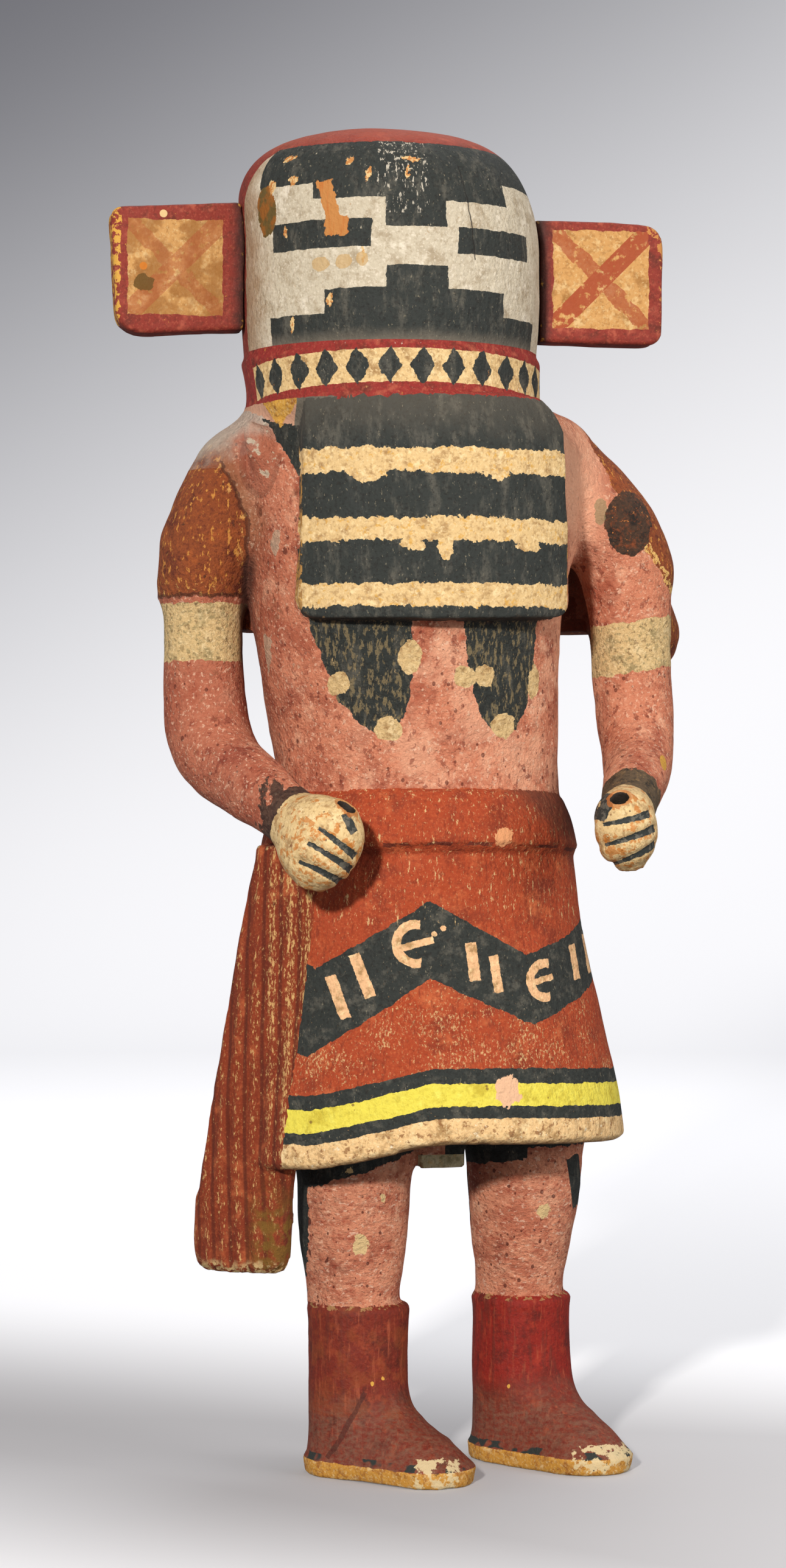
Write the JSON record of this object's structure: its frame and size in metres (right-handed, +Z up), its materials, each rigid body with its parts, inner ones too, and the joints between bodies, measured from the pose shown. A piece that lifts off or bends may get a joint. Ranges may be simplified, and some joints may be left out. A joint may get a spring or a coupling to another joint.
{
  "type": "kachina doll",
  "caption": "Carved and painted wooden doll in a round case mask with square ear boards, standing on its boots.",
  "frame": {"origin": "on the floor, under the middle of the whole doll's box", "axes": "+Z up, -Y the way the doll faces, +X towards the doll's own left"},
  "size_m": [0.1546, 0.0962, 0.3473],
  "materials": {
    "figure_paint": "matte mineral paint on carved soft wood, worn and chipped",
    "ear_paint": "matte mineral paint on thin wooden board, worn at the edges"
  },
  "bodies": {
    "root": {"figure": "figure_paint", "ear_right": "ear_paint", "ear_left": "ear_paint"}
  },
  "joints": []
}
